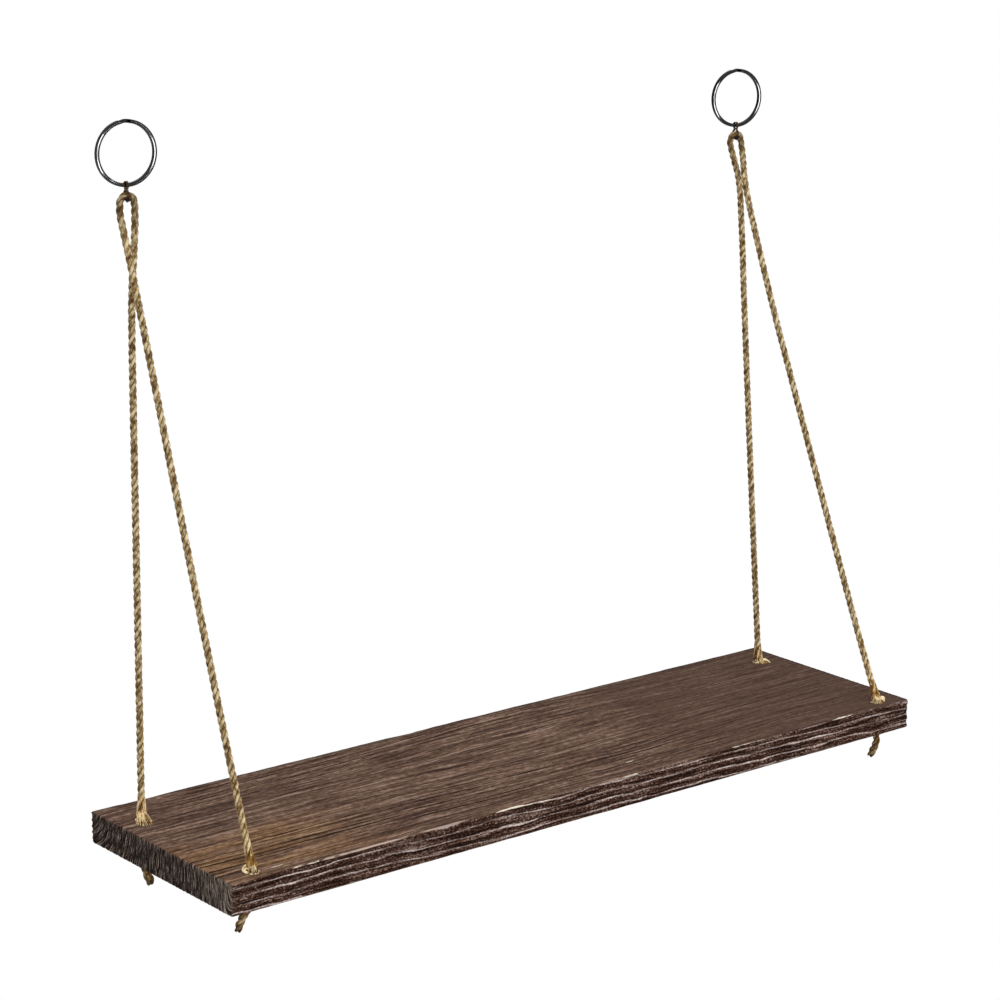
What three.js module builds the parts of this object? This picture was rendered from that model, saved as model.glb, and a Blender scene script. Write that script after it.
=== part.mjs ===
// Hanging rope shelf: a torched softwood board slung on two jute ropes, each tied to a split ring
// that goes over a hook in the wall. Millimetres, +X to the right, +Y into the wall, +Z up.
// The origin lies midway between the two hook seats, the highest points inside the rings' eyes.

import * as THREE from 'three';

// Board: a planed one-by-six, brushed down a little
const boardLength = 510;
const boardWidth = 141.4;
const boardThickness = 18.7;
const cornerRadius = 2.4;
const arrisRadius = 0.9;
const arrisSteps = 2;

// Holes, one pair to each rope, drilled by hand, so no two are set in alike from the board's edges
const holeDiameter = 8;
const leftBackHoleFromEnd = 15.4;
const leftFrontHoleFromEnd = 19;
const rightHoleFromEnd = 20.4;
const leftBackHoleFromEdge = 28.8;
const rightBackHoleFromEdge = 26;
const frontHoleFromEdge = 8;
const holeSides = 24;

// Hanging: from the hook seats down to the board's top, and how far the rings hang off the wall
const hangHeight = 383.2;
const ringSpacing = 448;
const wallGap = 4.2;

// Split ring: flattened wire wound twice, with a joggle where it steps from one turn to the other
const ringOuterDiameter = 36.4;
const wireWidth = 2.1;
const wireThickness = 0.85;
const turnGap = 0.45;
const joggleAngle = 26;
const joggleRise = 0.5;
const jogglePlace = -6;
const endAngle = 2;
const ringTurn = 7;
const ringSteps = 68;
const wireSides = 8;

// Rope
const ropeDiameter = 4;
const bightRadius = 4.6;
const bightGap = 2.3;
const ropeSides = 8;
const legSteps = 22;
const bightSteps = 12;
const domeSteps = 3;

// Tie: a bit of twine through the ring and round the rope's bight
const twineDiameter = 1;
const twineGap = 0.5;
const tieEyeRadius = 2.4;
const tieWaist = 1.3;
const tieRopeGap = 0.4;
const tieDrop = 3.4;
const tieTail = 3.6;
const tieSteps = 40;
const twineSides = 6;

// Plug of set glue round the rope in each hole
const seatGap = 0.3;
const plugLength = 16.8;
const plugRise = 0.9;
const plugLip = 0.35;
const plugFlare = 1;
const flareDepth = 3.4;
const plugSides = 18;

// Where each rope bends at the mouth of its hole, above the board's top
const mouthRise = 1.6;
const mouthGap = 0.8;
const tailSteps = 15;

// Colours, as seen in daylight
const torchedWood = 0x5a463c;
const jute = 0xb39a6f;
const blackNickel = 0x1d1d20;
const brownTwine = 0x6e4a2c;
const paleGlue = 0xe2cfae;

const deg = Math.PI / 180;
const half = (size) => size / 2;

// Derived places
const ropeRadius = half(ropeDiameter);
const twineRadius = half(twineDiameter);
const ringMeanRadius = half(ringOuterDiameter - wireWidth);
const ringInnerRadius = half(ringOuterDiameter) - wireWidth;
const turnPitch = wireThickness + turnGap;
const ringCentreZ = -ringInnerRadius;
const ringFootZ = ringCentreZ - ringMeanRadius;
const crestZ = ringCentreZ - half(ringOuterDiameter) - bightGap - ropeRadius;
const bightZ = crestZ - bightRadius;
const boardTopZ = -hangHeight;
const boardBackY = wallGap;
const boardMiddleY = boardBackY - half(boardWidth);
const frontHoleY = boardBackY - boardWidth + frontHoleFromEdge;
const holes = {
  left_back: [leftBackHoleFromEnd - half(boardLength), boardBackY - leftBackHoleFromEdge],
  left_front: [leftFrontHoleFromEnd - half(boardLength), frontHoleY],
  right_back: [half(boardLength) - rightHoleFromEnd, boardBackY - rightBackHoleFromEdge],
  right_front: [half(boardLength) - rightHoleFromEnd, frontHoleY],
};
const mouthZ = boardTopZ + mouthRise;
const ringX = half(ringSpacing);

// The free stretch of each rope, from its back hole up over the bight and down to its front hole.
// The bight's own points lie on a half circle of bightRadius under the crest. The back leg comes down
// from the bight's right side on the left rope and from its left side on the right rope.
const leftRope = {
  backSide: 1,
  back: [
    [-239.6, -24.6, -381.6], [-238.42, -22.98, -359.2], [-236.28, -20.02, -319.2],
    [-233.09, -15.58, -259.2], [-229.9, -11.2, -199.2], [-226.71, -6.81, -139.2],
    [-224.95, -4.54, -109.2], [-223.41, -3.1, -91.2], [-221.75, -2.04, -77.2],
    [-220.39, -1.11, -65.2], [-219.58, -0.44, -56.2], [-219.3, -0.05, -48.7],
  ],
  front: [
    [-228.7, -0.35, -48.7], [-228.46, -2.77, -56.2], [-228.41, -6.85, -66.2],
    [-228.55, -12.37, -79.2], [-229.61, -34.69, -139.2], [-231.18, -57.41, -199.2],
    [-232.75, -80.43, -259.2], [-234.33, -103.76, -319.2], [-235.37, -119.8, -359.2],
    [-236, -129.2, -381.6],
  ],
};
const rightRope = {
  backSide: -1,
  back: [
    [234.6, -21.8, -381.6], [234.03, -20.36, -359.2], [233.01, -17.74, -319.2],
    [231.49, -13.81, -259.2], [229.98, -9.93, -199.2], [228.67, -6.05, -139.2],
    [228.31, -4.04, -109.2], [227.93, -2.75, -91.2], [227.5, -1.8, -77.2],
    [226, -0.97, -65.2], [223.3, -0.38, -56.2], [220.8, -0.05, -48.7],
  ],
  front: [
    [228.5, -1.5, -48.7], [226.6, -4.9, -56.2], [223.9, -9.4, -66.2],
    [222.7, -14.5, -79.2], [225.08, -34.69, -139.2], [227.46, -57.41, -199.2],
    [229.8, -80.43, -259.2], [232.14, -103.76, -319.2], [233.73, -119.8, -359.2],
    [234.6, -129.2, -381.6],
  ],
};

// The stretch of rope below each hole, from where it leaves the board to its cut end
const tails = {
  left_back: [[-0.2, -0.4, -3], [-0.9, -1.9, -7.5], [-1.6, -4.2, -12.5], [-1.9, -6.6, -17.6]],
  left_front: [[-0.4, 0.5, -3], [-1.7, 2.2, -7], [-3.3, 4.4, -11.3], [-4.7, 6.3, -15.6]],
  right_back: [[0.2, -0.3, -3], [0.9, -1.3, -7], [1.7, -2.7, -11.5], [2.2, -4.1, -16]],
  right_front: [[0.3, -0.5, -3], [0.4, -0.7, -7], [-0.2, 0.7, -11.8], [-1, 3.1, -17.2]],
};

// Closed tube round a line of centres. Each ring of the skin has its own radii, across the line
// along first and second; without frames given, first is carried along the line with no twist.
function skin(centres, radii, sides, firstAt) {
  const count = centres.length;
  const positions = [];
  const faces = [];
  let first = null;
  for (let i = 0; i < count; i += 1) {
    const before = centres[Math.max(i - 1, 0)];
    const after = centres[Math.min(i + 1, count - 1)];
    const along = after.clone().sub(before).normalize();
    if (firstAt) {
      first = firstAt(i);
    } else if (!first) {
      first = Math.abs(along.y) < Math.abs(along.x) ? new THREE.Vector3(0, 1, 0) : new THREE.Vector3(1, 0, 0);
    }
    first = first.clone().addScaledVector(along, -first.dot(along)).normalize();
    const second = along.clone().cross(first);
    const [a, b] = radii(i);
    for (let k = 0; k < sides; k += 1) {
      const turn = 2 * Math.PI * (k + 1 / 2) / sides;
      const point = centres[i].clone()
        .addScaledVector(first, a * Math.cos(turn))
        .addScaledVector(second, b * Math.sin(turn));
      positions.push(point.x, point.y, point.z);
    }
  }
  for (let i = 0; i + 1 < count; i += 1) {
    for (let k = 0; k < sides; k += 1) {
      const next = (k + 1) % sides;
      const [p, q, r, s] = [i * sides + k, i * sides + next, (i + 1) * sides + k, (i + 1) * sides + next];
      faces.push(p, q, s, p, s, r);
    }
  }
  for (const [ring, flip] of [[0, true], [count - 1, false]]) {
    for (let k = 1; k + 1 < sides; k += 1) {
      const fan = [ring * sides, ring * sides + k, ring * sides + k + 1];
      faces.push(...(flip ? fan.reverse() : fan));
    }
  }
  const geometry = new THREE.BufferGeometry();
  geometry.setAttribute('position', new THREE.Float32BufferAttribute(positions, 3));
  geometry.setIndex(faces);
  geometry.computeVertexNormals();
  return geometry;
}

// Rounds off both ends of a tube's line: a few smaller and smaller rings on a half ball
function domeEnds(centres, radius) {
  const rings = centres.map((centre) => [centre, radius]);
  const ends = [
    [centres[0], centres[0].clone().sub(centres[1]).normalize(), (ring) => rings.unshift(ring)],
    [centres.at(-1), centres.at(-1).clone().sub(centres.at(-2)).normalize(), (ring) => rings.push(ring)],
  ];
  for (const [centre, out, add] of ends) {
    for (let k = 1; k <= domeSteps; k += 1) {
      const tilt = half(Math.PI) * k / (domeSteps + 1 / 2);
      add([centre.clone().addScaledVector(out, radius * Math.sin(tilt)), radius * Math.cos(tilt)]);
    }
  }
  return rings;
}

const points = (list) => list.map(([x, y, z]) => new THREE.Vector3(x, y, z));

// Board: a rectangle with eased corners, its four holes, and an arris taken off every edge
function shelfBoard() {
  const [x, y, r] = [half(boardLength), half(boardWidth), cornerRadius];
  const outline = new THREE.Shape();
  outline.moveTo(-x + r, -y);
  outline.lineTo(x - r, -y);
  outline.absarc(x - r, -y + r, r, -half(Math.PI), 0);
  outline.lineTo(x, y - r);
  outline.absarc(x - r, y - r, r, 0, half(Math.PI));
  outline.lineTo(-x + r, y);
  outline.absarc(-x + r, y - r, r, half(Math.PI), Math.PI);
  outline.lineTo(-x, -y + r);
  outline.absarc(-x + r, -y + r, r, Math.PI, 3 * half(Math.PI));
  for (const [holeX, holeY] of Object.values(holes)) {
    const hole = new THREE.Path();
    for (let k = 0; k < holeSides; k += 1) {
      const turn = -2 * Math.PI * k / holeSides;
      const px = holeX + half(holeDiameter) * Math.cos(turn);
      const py = holeY - boardMiddleY + half(holeDiameter) * Math.sin(turn);
      if (k === 0) hole.moveTo(px, py);
      else hole.lineTo(px, py);
    }
    outline.holes.push(hole);
  }
  const geometry = new THREE.ExtrudeGeometry(outline, {
    depth: boardThickness - 2 * arrisRadius,
    curveSegments: 3,
    bevelThickness: arrisRadius,
    bevelSize: arrisRadius,
    bevelOffset: -arrisRadius,
    bevelSegments: arrisSteps,
  });
  geometry.translate(0, boardMiddleY, boardTopZ - boardThickness + arrisRadius);
  return geometry;
}

// Split ring: two turns side by side, front turn first. The joggle sits at the crown, where the
// wire also stands a little proud, and each wire end stops just short of it.
function splitRing(x) {
  const spare = half(joggleAngle) + endAngle;
  const sweep = 2 * (360 - spare);
  const angleAt = (i) => jogglePlace + spare + sweep * i / ringSteps;
  const fromJoggle = (i) => (angleAt(i) - jogglePlace - 360) / half(joggleAngle);
  const radial = (i) => new THREE.Vector3(Math.sin(angleAt(i) * deg), 0, Math.cos(angleAt(i) * deg));
  const centres = [];
  for (let i = 0; i <= ringSteps; i += 1) {
    const place = Math.min(Math.max(fromJoggle(i), -1), 1);
    const layer = half(turnPitch) * Math.sin(half(Math.PI) * place);
    const rise = joggleRise * Math.cos(half(Math.PI) * place) ** 2;
    centres.push(radial(i).multiplyScalar(ringMeanRadius + rise).setY(layer));
  }
  const geometry = skin(centres, () => [half(wireWidth), half(wireThickness)], wireSides, radial);
  geometry.rotateZ(-ringTurn * deg);
  geometry.translate(x, 0, ringCentreZ);
  console.log('split ring, least gap between turns', leastGap(centres, wireThickness, ringSteps / 4));
  return geometry;
}

// Least distance between parts of one line that lie more than apart steps from each other, less
// the tube's thickness
function leastGap(centres, thickness, apart) {
  let least = Infinity;
  for (let i = 0; i < centres.length; i += 1) {
    for (let j = i + Math.ceil(apart); j < centres.length; j += 1) {
      least = Math.min(least, centres[i].distanceTo(centres[j]));
    }
  }
  return (least - thickness).toFixed(2);
}

// Middle line of a rope's free stretch: a long leg, the round bight, and the other leg
function ropeLine(route, x) {
  const over = [];
  for (let k = 0; k <= 6; k += 1) {
    const turn = Math.PI * k / 6;
    const reach = route.backSide * bightRadius;
    over.push([x + reach * Math.cos(turn), 0, bightZ + bightRadius * Math.sin(turn)]);
  }
  return new THREE.CatmullRomCurve3(points([...route.back, ...over, ...route.front]), false, 'centripetal');
}

// Centres along a rope, close together round the bight and wide apart down the legs
function ropeCentres(route, x) {
  const line = ropeLine(route, x);
  const last = line.points.length - 1;
  const from = route.back.length - 2;
  const to = route.back.length + 8;
  const centres = [];
  const stretch = (start, end, steps) => {
    for (let i = 0; i < steps; i += 1) {
      centres.push(line.getPoint((start + (end - start) * i / steps) / last));
    }
  };
  stretch(0, from, legSteps);
  stretch(from, to, 2 * bightSteps);
  stretch(to, last, legSteps);
  centres.push(line.getPoint(1));
  return centres;
}

function rope(route, x) {
  const rings = domeEnds(ropeCentres(route, x), ropeRadius);
  const length = ropeLine(route, x).getLength();
  const beyondBight = rings.length / 4;
  const least = leastGap(rings.map(([centre]) => centre), ropeDiameter, beyondBight);
  console.log('rope, free length', length.toFixed(0), 'least gap between its legs', least);
  return skin(rings.map(([centre]) => centre), (i) => [rings[i][1], rings[i][1]], ropeSides);
}

// Tie: once round ring and rope, drawn in between them, its ends crossing in front of the rope.
// Seen from the side it is an eye round the ring's wires over a wider one round the rope.
function tie(x) {
  const wide = ropeRadius + tieRopeGap + twineRadius;
  const eye = (turn) => [tieEyeRadius * Math.cos(turn), ringFootZ + tieEyeRadius * Math.sin(turn)];
  const belly = (turn) => {
    const reach = Math.sin(turn) < 0 ? tieDrop : wide;
    return [wide * Math.cos(turn), crestZ + reach * Math.sin(turn)];
  };
  const waistZ = half(ringFootZ - tieEyeRadius + crestZ + wide);
  const right = [35, 5, -30].map((turn) => eye(turn * deg));
  const left = right.map(([y, z]) => [-y, z]).reverse();
  const outline = [
    ...[205, 180, 155].map((turn) => belly(turn * deg)), [-tieWaist, waistZ],
    ...left, ...[115, 65].map((turn) => eye(turn * deg)), ...right,
    [tieWaist, waistZ], ...[25, 0, -40, -90, -140].map((turn) => belly(turn * deg)),
  ];
  const pitch = twineDiameter + twineGap;
  const once = new THREE.CatmullRomCurve3(points(outline.map(([y, z]) => [0, y, z])), true, 'centripetal');
  const centres = [];
  for (let i = 0; i <= tieSteps; i += 1) {
    const share = i / tieSteps;
    centres.push(once.getPoint(share).setX(x + pitch * (share - 1 / 2)));
  }
  const start = centres[0];
  const end = centres.at(-1);
  const away = (centre, side) => centre.clone().add(
    new THREE.Vector3(side * tieTail / 2, -tieTail / 3, -tieTail),
  );
  centres.unshift(away(start, -1).lerp(start, 1 / 2), start.clone().setZ(start.z - twineRadius));
  centres.unshift(away(start, -1));
  centres.push(end.clone().add(new THREE.Vector3(twineRadius / 2, -twineRadius, twineRadius)));
  console.log('tie, least gap to itself', leastGap(centres, twineDiameter, tieSteps / 4));
  return skin(centres, () => [twineRadius, twineRadius], twineSides);
}

// Glue plug: fills the hole round the rope, stands up at the mouth and opens there into a funnel
function plug(x, y) {
  const bore = ropeRadius + seatGap;
  const wall = half(holeDiameter) - seatGap;
  const top = plugRise;
  const profile = [
    [bore, top - plugRise - plugLength], [wall, top - plugRise - plugLength], [wall, -arrisRadius],
    [wall + half(arrisRadius), seatGap], [wall + half(arrisRadius) - plugLip, top - plugLip],
    [bore + plugFlare + plugLip, top], [bore + plugFlare, top - plugLip], [bore, -flareDepth],
  ];
  const outline = [...profile, profile[0]].map(([r, z]) => new THREE.Vector2(r, z));
  const geometry = new THREE.LatheGeometry(outline, plugSides);
  geometry.rotateX(half(Math.PI));
  geometry.translate(x, y, boardTopZ);
  return geometry;
}

// Rope inside a hole and below it, down to its cut end
function ropeEnd(x, y, tail) {
  const exitZ = boardTopZ - boardThickness;
  const top = mouthZ - ropeRadius - mouthGap;
  const line = new THREE.CatmullRomCurve3([
    new THREE.Vector3(x, y, top),
    new THREE.Vector3(x, y, half(top + exitZ)),
    new THREE.Vector3(x, y, exitZ + ropeRadius),
    ...points(tail).map((point) => point.add(new THREE.Vector3(x, y, exitZ))),
  ], false, 'centripetal');
  return skin(line.getSpacedPoints(tailSteps), () => [ropeRadius, ropeRadius], ropeSides);
}

const shelf = new THREE.Group();

function add(name, geometry, color, roughness, metalness = 0) {
  const mesh = new THREE.Mesh(geometry, new THREE.MeshStandardMaterial({ color, roughness, metalness }));
  mesh.name = name;
  shelf.add(mesh);
}

add('shelf_board', shelfBoard(), torchedWood, 0.75);
for (const [side, sign, route] of [['left', -1, leftRope], ['right', 1, rightRope]]) {
  add(`${side}_ring`, splitRing(sign * ringX), blackNickel, 0.25, 1);
  add(`${side}_tie`, tie(sign * ringX), brownTwine, 0.9);
  add(`${side}_rope`, rope(route, sign * ringX), jute, 0.95);
  for (const place of [`${side}_back`, `${side}_front`]) {
    const [x, y] = holes[place];
    add(`${place}_plug`, plug(x, y), paleGlue, 0.5);
    add(`${place}_rope_end`, ropeEnd(x, y, tails[place]), jute, 0.95);
  }
}

export default shelf;
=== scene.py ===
# %% [markdown]
# # A rope shelf, hung from two rings
# The shelf is a torched softwood board on two thin jute ropes. Each rope is doubled over a twine tie,
# the tie hangs in a split ring, and the ring goes over a hook in the wall. The construction comes in
# as a fixed frame of finished solids. This file gives them their surfaces, piece by piece.

# %% The fixed frame
import math
import random

import bmesh
import bpy
import numpy as np
from mathutils import Matrix, Vector, noise
from mathutils.kdtree import KDTree


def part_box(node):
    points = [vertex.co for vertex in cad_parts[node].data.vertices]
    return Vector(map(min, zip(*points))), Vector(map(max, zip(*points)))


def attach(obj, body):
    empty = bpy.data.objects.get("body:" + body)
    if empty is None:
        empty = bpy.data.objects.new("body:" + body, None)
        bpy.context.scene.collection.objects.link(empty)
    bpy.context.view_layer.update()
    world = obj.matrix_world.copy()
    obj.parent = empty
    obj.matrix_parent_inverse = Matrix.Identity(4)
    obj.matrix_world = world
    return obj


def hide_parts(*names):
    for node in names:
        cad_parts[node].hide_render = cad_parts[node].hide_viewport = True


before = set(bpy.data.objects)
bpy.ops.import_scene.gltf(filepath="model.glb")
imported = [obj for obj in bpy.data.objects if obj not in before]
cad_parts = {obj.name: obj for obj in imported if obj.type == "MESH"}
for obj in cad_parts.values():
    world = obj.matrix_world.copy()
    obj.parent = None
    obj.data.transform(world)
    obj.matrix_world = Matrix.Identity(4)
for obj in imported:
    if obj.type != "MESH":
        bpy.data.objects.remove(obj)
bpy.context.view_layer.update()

MM = 0.001
draw = random.Random(11)


def placed(name, data):
    """A new object, put in the scene."""
    made = bpy.data.objects.new(name, data)
    bpy.context.scene.collection.objects.link(made)
    return made


def meshed(name, shape):
    """The shape that was being edited, as a mesh."""
    mesh = bpy.data.meshes.new(name)
    shape.to_mesh(mesh)
    shape.free()
    return mesh


def mark(mesh, name, values):
    """Gives every point of a mesh its value of an attribute."""
    mesh.attributes.new(name, "FLOAT", "POINT").data.foreach_set("value", np.array(values, np.float32))



# %% [markdown]
# The camera comes first, because everything else is judged through it. The board's corners in sight,
# its holes, the rings and the ropes fix where the photograph was taken from: about 1.7 m away, to the
# left and a little above. A long lens from that far keeps the far ring four fifths as large as the near
# one.

# %% Camera
PHOTO_PX = 1000
FOCAL_PX = 2925.8
CAMERA_AT = (-1.04515, -1.346, 0.1861)
YAW, PITCH, ROLL = (math.radians(a) for a in (38.741, 14.097, -0.213))
forward = Vector((math.sin(YAW) * math.cos(PITCH), math.cos(YAW) * math.cos(PITCH), -math.sin(PITCH)))
level = Vector((math.cos(YAW), -math.sin(YAW), 0))
down = forward.cross(level)
right = level * math.cos(ROLL) + down * math.sin(ROLL)
down = down * math.cos(ROLL) - level * math.sin(ROLL)
camera = placed("camera", bpy.data.cameras.new("camera"))
camera.data.lens = FOCAL_PX / PHOTO_PX * camera.data.sensor_width
camera.data.clip_start = 0.01
camera.matrix_world = Matrix((right, -down, -forward)).transposed().to_4x4()
camera.matrix_world.translation = Vector(CAMERA_AT)
bpy.context.scene.camera = camera
bpy.context.scene.view_settings.view_transform = "Standard"
print(f"lens {camera.data.lens:.1f} mm")

# %% [markdown]
# A rope is held at its ends and pulled straight by the board, so its route is nearly two straight legs
# over a small half circle at the top. A few points give the route, and a curve is drawn smoothly
# through them. Near the top the legs keep the curl of the half circle for a while, because rope is a
# little stiff: that bulge tells the eye that this is rope and not string. The left rope's legs cross
# below it and the right rope's don't, because each was hung with whatever twist it had. The left half
# circle also hangs a touch nearer the middle than its plain solid.

# %% Routes of the two ropes
ROPE_D = 4.0 * MM
ROPE_STEP = 0.8 * MM
BEND = 4.6 * MM
RING_X = 224 * MM
BEND_Z = -43.2 * MM
BIGHT_FOOT_Z = -85 * MM
LEFT_NEARER = 0.9 * MM
LEFT_NEARER_RUN = 35 * MM
LEFT_BACK = [
    (-0.2396, -0.0246, -0.3816), (-0.23842, -0.02298, -0.3592), (-0.23628, -0.02002, -0.3192),
    (-0.23309, -0.01558, -0.2592), (-0.2299, -0.0112, -0.1992), (-0.22671, -0.00681, -0.1392),
    (-0.22495, -0.00454, -0.1092), (-0.22341, -0.0031, -0.0912), (-0.22175, -0.00204, -0.0772),
    (-0.22039, -0.00111, -0.0652), (-0.21958, -0.00044, -0.0562), (-0.2193, -0.00005, -0.0487),
]
LEFT_FRONT = [
    (-0.2287, -0.00035, -0.0487), (-0.22846, -0.00277, -0.0562), (-0.22841, -0.00685, -0.0662),
    (-0.22855, -0.01237, -0.0792), (-0.22961, -0.03469, -0.1392), (-0.23118, -0.05741, -0.1992),
    (-0.23275, -0.08043, -0.2592), (-0.23433, -0.10376, -0.3192), (-0.23537, -0.1198, -0.3592),
    (-0.236, -0.1292, -0.3816),
]
RIGHT_BACK = [
    (0.2346, -0.0218, -0.3816), (0.23403, -0.02036, -0.3592), (0.23301, -0.01774, -0.3192),
    (0.23149, -0.01381, -0.2592), (0.22998, -0.00993, -0.1992), (0.22867, -0.00605, -0.1392),
    (0.22831, -0.00404, -0.1092), (0.22793, -0.00275, -0.0912), (0.2275, -0.0018, -0.0772),
    (0.226, -0.00097, -0.0652), (0.2233, -0.00038, -0.0562), (0.2208, -0.00005, -0.0487),
]
RIGHT_FRONT = [
    (0.2285, -0.0015, -0.0487), (0.2266, -0.0049, -0.0562), (0.2239, -0.0094, -0.0662),
    (0.2227, -0.0145, -0.0792), (0.22508, -0.03469, -0.1392), (0.22746, -0.05741, -0.1992),
    (0.2298, -0.08043, -0.2592), (0.23214, -0.10376, -0.3192), (0.23373, -0.1198, -0.3592),
    (0.2346, -0.1292, -0.3816),
]
TAILS = {
    "left_back": [(-0.0001, -0.0005, -0.003), (-0.0003, -0.0023, -0.0075), (-0.0002, -0.0052, -0.0125),
                  (0.0001, -0.008, -0.0172)],
    "left_front": [(-0.0022, 0.0021, -0.003), (-0.004, 0.004, -0.007), (-0.005, 0.0057, -0.0113),
                   (-0.0056, 0.0069, -0.0156)],
    "right_back": [(0.0002, -0.0003, -0.003), (0.0009, -0.0013, -0.007), (0.0017, -0.0027, -0.0115),
                   (0.0022, -0.0041, -0.016)],
    "right_front": [(0.0003, -0.0005, -0.003), (0.0004, -0.0007, -0.007), (-0.0002, 0.0007, -0.0118),
                    (-0.001, 0.0031, -0.0172)],
}


def over_the_top(x, back_side):
    """The half circle of rope under a ring, which starts on the back leg's side: 1 for +X, -1 for -X."""
    turns = [math.pi * k / 6 for k in range(7)]
    return [(x + back_side * BEND * math.cos(t), 0, BEND_Z + BEND * math.sin(t)) for t in turns]


# %% A smooth line through points
def smooth_line(points, step):
    """Points a step apart on a curve through the given ones, as rows of an array."""
    p = np.array(points, float)
    p = np.vstack([2 * p[0] - p[1], p, 2 * p[-1] - p[-2]])
    fine = []
    for a, b, c, d in zip(p, p[1:], p[2:], p[3:]):
        ab, bc, cd = (max(np.linalg.norm(v), 1e-9) ** 0.5 for v in (b - a, c - b, d - c))
        leave = ((b - a) / ab - (c - a) / (ab + bc) + (c - b) / bc) * bc
        arrive = ((c - b) / bc - (d - b) / (bc + cd) + (d - c) / cd) * bc
        t = np.linspace(0, 1, 48, endpoint=False)[:, None]
        fine.append(b + leave * t + (3 * (c - b) - 2 * leave - arrive) * t**2
                    + (leave + arrive - 2 * (c - b)) * t**3)
    fine = np.vstack([*fine, p[-2:-1]])
    reach = np.concatenate([[0], np.cumsum(np.linalg.norm(np.diff(fine, axis=0), axis=1))])
    even = np.linspace(0, reach[-1], max(2, round(reach[-1] / step)) + 1)
    return np.column_stack([np.interp(even, reach, fine[:, k]) for k in range(3)])


def length_of(line):
    return float(np.linalg.norm(np.diff(line, axis=0), axis=1).sum())


left_line = smooth_line([*LEFT_BACK, *over_the_top(-RING_X, 1), *LEFT_FRONT], ROPE_STEP)
right_line = smooth_line([*RIGHT_BACK, *over_the_top(RING_X, -1), *RIGHT_FRONT], ROPE_STEP)
left_line[:, 0] += LEFT_NEARER * np.clip((left_line[:, 2] - BIGHT_FOOT_Z) / LEFT_NEARER_RUN, 0, 1)
print(f"free rope: left {length_of(left_line):.3f} m, right {length_of(right_line):.3f} m")

# %% [markdown]
# Rope is strands laid round each other, and drawing it as a smooth tube never looks right. So each
# strand is its own tube along a helix round the rope's middle line. Directions carried along the line
# without twist are the zero from which the helix's turn is counted. With a right-hand lay the strands
# climb to the right, like the middle stroke of a Z.

# %% Strands laid round a line
def directions_along(line):
    """Two directions square to the line at each of its points, carried along it with no twist."""
    along = np.gradient(line, axis=0)
    along /= np.linalg.norm(along, axis=1)[:, None]
    first = np.cross(along[0], (1.0, 0.0, 0.0) if abs(along[0][1]) > 0.8 else (0.0, 1.0, 0.0))
    firsts = []
    for t in along:
        first = first - t * (first @ t)
        first = first / np.linalg.norm(first)
        firsts.append(first)
    firsts = np.array(firsts)
    return firsts, np.cross(along, firsts)


def laid(line, strands, pitch, off, start=0.0):
    """The middle lines of strands that wind right-handed round a line, off from it by off."""
    first, second = directions_along(line)
    reach = np.concatenate([[0], np.cumsum(np.linalg.norm(np.diff(line, axis=0), axis=1))])
    turned = np.concatenate([[0], np.cumsum(np.diff(reach) / (np.zeros(len(line)) + pitch)[1:])])
    found = []
    for k in range(strands):
        turn = 2 * np.pi * (turned + k / strands) + start
        shift = first * np.cos(turn)[:, None] + second * np.sin(turn)[:, None]
        found.append(line + shift * (np.zeros(len(line)) + off)[:, None])
    return found


# %% Tubes along lines
def tubes(name, lines, radii, tones, sides=10):
    """A mesh of closed round tubes. Its UV map gives metres along each tube and turns around it."""
    whole = bmesh.new()
    whole.verts.layers.float.new("tone")
    for line, radius, shade in zip(lines, radii, tones):
        before = len(whole.verts)
        curve = bpy.data.curves.new(name, "CURVE")
        curve.dimensions = "3D"
        curve.bevel_depth = 1.0
        curve.bevel_resolution = sides // 2 - 2
        curve.use_fill_caps = True
        spline = curve.splines.new("POLY")
        spline.points.add(len(line) - 1)
        spline.points.foreach_set("co", np.column_stack([line, np.ones(len(line))]).ravel())
        spline.points.foreach_set("radius", np.zeros(len(line)) + radius)
        carrier = bpy.data.objects.new(name, curve)
        part = bpy.data.meshes.new_from_object(carrier)
        uv = np.zeros(len(part.loops) * 2)
        part.uv_layers[0].data.foreach_get("uv", uv)
        uv[0::2] *= length_of(line)
        part.uv_layers[0].data.foreach_set("uv", uv)
        whole.from_mesh(part)
        tone = whole.verts.layers.float["tone"]
        whole.verts.ensure_lookup_table()
        for vert in whole.verts[before:]:
            vert[tone] = shade
        bpy.data.objects.remove(carrier)
        bpy.data.curves.remove(curve)
        bpy.data.meshes.remove(part)
    bmesh.ops.remove_doubles(whole, verts=whole.verts, dist=1e-7)
    return meshed(name, whole)


def piece(name, mesh, material, body, slot, *replaced):
    """Puts a mesh in the scene as a finished piece that rides on a body of the frame."""
    mesh.shade_smooth()
    mesh.materials.clear()
    mesh.materials.append(material)
    made = placed(name, mesh)
    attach(made, body)
    if replaced:
        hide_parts(*replaced)
    print(f"{name}: {len(mesh.polygons)} faces")
    return made


# %% [markdown]
# Every material is a small graph of nodes. One function adds a node: it sets the node's properties,
# gives its sockets a value or a link, and fills a colour ramp's stops. Colours are written as they look
# on a screen, and one function turns them to the linear values that light works with.

# %% Colours and nodes
def linear(colour):
    """A screen colour such as "b39a6f" as the linear red, green, blue and alpha of a shader."""
    parts = [int(colour[k:k + 2], 16) / 255 for k in (0, 2, 4)]
    return [c / 12.92 if c <= 0.04045 else ((c + 0.055) / 1.055) ** 2.4 for c in parts] + [1.0]


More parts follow.
